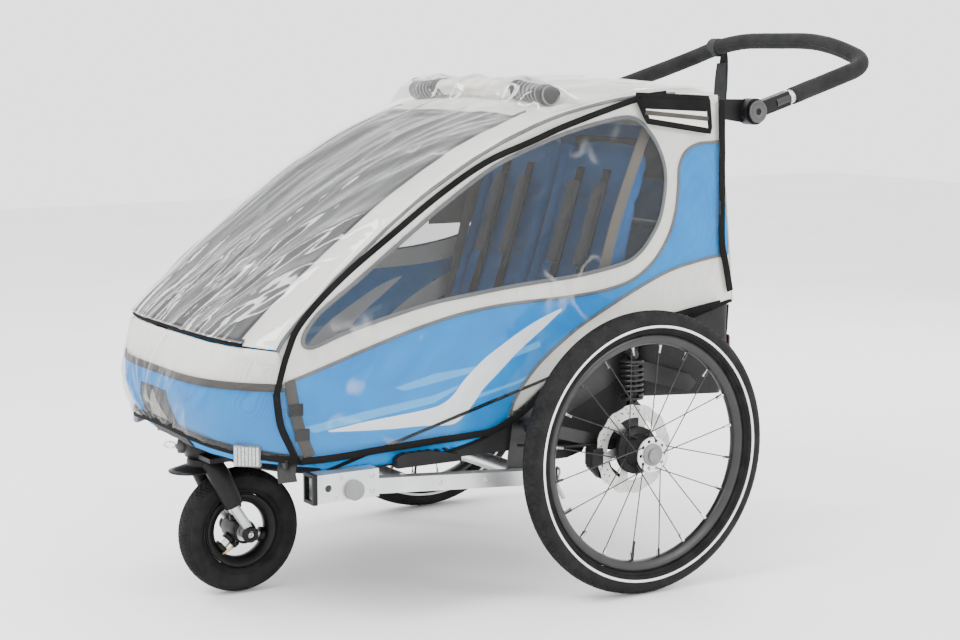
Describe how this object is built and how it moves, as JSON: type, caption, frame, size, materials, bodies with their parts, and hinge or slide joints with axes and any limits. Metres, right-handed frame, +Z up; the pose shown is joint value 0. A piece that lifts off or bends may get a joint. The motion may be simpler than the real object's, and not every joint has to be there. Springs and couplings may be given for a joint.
{
  "type": "child bicycle trailer",
  "caption": "Enclosed two-seat child trailer with spoked rear wheels, caster front wheel, push bar, clear rain cover and drawbar socket.",
  "frame": {"origin": "on the ground under the middle of the trailer", "axes": "+Z up, -Y toward the nose, +X toward the trailer's left side where the drawbar socket is"},
  "size_m": [0.8304, 1.3765, 0.977],
  "materials": {
    "blue_fabric": "coated polyester",
    "cream_fabric": "coated polyester",
    "dark_mesh": "fly mesh",
    "black_fabric": "ripstop",
    "seat_fabric": "padded polyester",
    "webbing": "woven webbing",
    "clear_film": "clear soft film",
    "tinted_film": "smoked soft film",
    "black_plastic": "fine grain",
    "grey_plastic": "satin",
    "foam": "foam rubber",
    "frame_alloy": "brushed",
    "black_metal": "powder coat",
    "steel": "brushed",
    "spoke_steel": "black",
    "tyre_rubber": "moulded",
    "reflector": "prismatic"
  },
  "bodies": {
    "chassis": {"nose_panel": "blue_fabric", "roof_panel": "cream_fabric", "front_mesh": "dark_mesh", "side_panel_left": "blue_fabric", "side_panel_right": "blue_fabric", "side_windows": "tinted_film", "rolled_cover": "cream_fabric", "floor_tub": "black_plastic", "luggage_bag": "black_fabric", "rain_cover": "clear_film", "seat_cushions": "seat_fabric", "seat_backs": "seat_fabric", "harnesses": "webbing", "seat_deck": "black_plastic", "side_rail_left": "frame_alloy", "side_rail_right": "frame_alloy", "cross_tubes": "frame_alloy", "arm_bracket_left": "black_metal", "arm_bracket_right": "black_metal", "drawbar_receiver": "frame_alloy", "receiver_mouth": "black_plastic", "front_mount": "black_plastic", "step_bumpers": "black_plastic", "reflectors": "reflector", "tether_pin": "steel"},
    "latch": {"drawbar_button": "grey_plastic"},
    "pedal": {"brake_pedal": "black_plastic"},
    "caster": {"swivel_fork": "black_plastic", "fork_tubes": "frame_alloy"},
    "front_wheel": {"front_rim": "black_plastic", "front_spokes": "frame_alloy", "front_tyre": "tyre_rubber"},
    "upper_frame": {"roof_frame": "frame_alloy", "handle_mounts": "black_plastic"},
    "uprights": {"upright_frame": "frame_alloy"},
    "push_bar": {"bar_tube": "frame_alloy", "bar_foam": "foam", "handle_arms": "black_plastic", "wrist_strap": "webbing"},
    "cap_left": {"pivot_cap_left": "grey_plastic"},
    "cap_right": {"pivot_cap_right": "grey_plastic"},
    "arm_body_left": {"arm_left": "frame_alloy", "shock_left": "black_metal", "caliper_left": "black_metal"},
    "wheel_left": {"tyre_left": "tyre_rubber", "rim_left": "black_metal", "spokes_left": "spoke_steel", "hub_left": "frame_alloy", "rotor_left": "steel"},
    "axle_cap_left": {"axle_button_left": "grey_plastic"},
    "arm_body_right": {"arm_right": "frame_alloy", "shock_right": "black_metal", "caliper_right": "black_metal"},
    "wheel_right": {"tyre_right": "tyre_rubber", "rim_right": "black_metal", "spokes_right": "spoke_steel", "hub_right": "frame_alloy", "rotor_right": "steel"},
    "axle_cap_right": {"axle_button_right": "grey_plastic"}
  },
  "joints": [
    {"name": "suspension_left", "type": "hinge", "parent": "chassis", "child": "arm_body_left", "pos_m": [0.32, -0.12, 0.306], "axis": [1, 0, 0], "range_deg": [0, 7], "stiffness_Nm_per_rad": 900, "springref_deg": -6.88, "deforming": ["shock_left"]},
    {"name": "wheel_spin_left", "type": "hinge", "parent": "arm_body_left", "child": "wheel_left", "pos_m": [0.384, 0.073, 0.25], "axis": [1, 0, 0], "continuous": true},
    {"name": "axle_button_press_left", "type": "slide", "parent": "arm_body_left", "child": "axle_cap_left", "axis": [-1, 0, 0], "range_m": [0, 0.003], "stiffness_N_per_m": 400, "springref_m": -0.001},
    {"name": "suspension_right", "type": "hinge", "parent": "chassis", "child": "arm_body_right", "pos_m": [-0.32, -0.12, 0.306], "axis": [1, 0, 0], "range_deg": [0, 7], "stiffness_Nm_per_rad": 900, "springref_deg": -6.88, "deforming": ["shock_right"]},
    {"name": "wheel_spin_right", "type": "hinge", "parent": "arm_body_right", "child": "wheel_right", "pos_m": [-0.384, 0.073, 0.25], "axis": [1, 0, 0], "continuous": true},
    {"name": "axle_button_press_right", "type": "slide", "parent": "arm_body_right", "child": "axle_cap_right", "axis": [1, 0, 0], "range_m": [0, 0.003], "stiffness_N_per_m": 400, "springref_m": -0.001},
    {"name": "caster_swivel", "type": "hinge", "parent": "chassis", "child": "caster", "pos_m": [0, -0.588, 0.24], "axis": [0, 0, 1], "continuous": true},
    {"name": "front_wheel_spin", "type": "hinge", "parent": "caster", "child": "front_wheel", "pos_m": [0, -0.528, 0.111], "axis": [1, 0, 0], "continuous": true},
    {"name": "drawbar_latch", "type": "slide", "parent": "chassis", "child": "latch", "axis": [-1, 0, 0], "range_m": [0, 0.005], "stiffness_N_per_m": 600, "springref_m": -0.001},
    {"name": "parking_brake", "type": "hinge", "parent": "chassis", "child": "pedal", "pos_m": [0.298, -0.072, 0.252], "axis": [-1, 0, 0], "range_deg": [0, 22]},
    {"name": "frame_fold", "type": "hinge", "parent": "chassis", "child": "upper_frame", "pos_m": [0.262, -0.512, 0.292], "axis": [-1, 0, 0], "range_deg": [0, 27], "deforming": ["nose_panel", "roof_panel", "front_mesh", "side_panel_left", "side_panel_right", "side_windows", "rolled_cover", "luggage_bag", "rain_cover", "seat_cushions", "seat_backs", "harnesses"]},
    {"name": "upright_fold", "type": "hinge", "parent": "chassis", "child": "uprights", "pos_m": [0.236, 0.245, 0.342], "axis": [1, 0, 0], "range_deg": [0, 80]},
    {"name": "bar_tilt", "type": "hinge", "parent": "upper_frame", "child": "push_bar", "pos_m": [0.285, 0.376, 0.833], "axis": [1, 0, 0], "range_deg": [-50, 75], "deforming": ["wrist_strap"]},
    {"name": "bar_button_left", "type": "slide", "parent": "push_bar", "child": "cap_left", "axis": [-1, 0, 0], "range_m": [0, 0.003], "stiffness_N_per_m": 400, "springref_m": -0.001},
    {"name": "bar_button_right", "type": "slide", "parent": "push_bar", "child": "cap_right", "axis": [1, 0, 0], "range_m": [0, 0.003], "stiffness_N_per_m": 400, "springref_m": -0.001}
  ],
  "couplings": [
    {"joint": "upright_fold", "follows": "frame_fold", "ratio": 2.963}
  ]
}
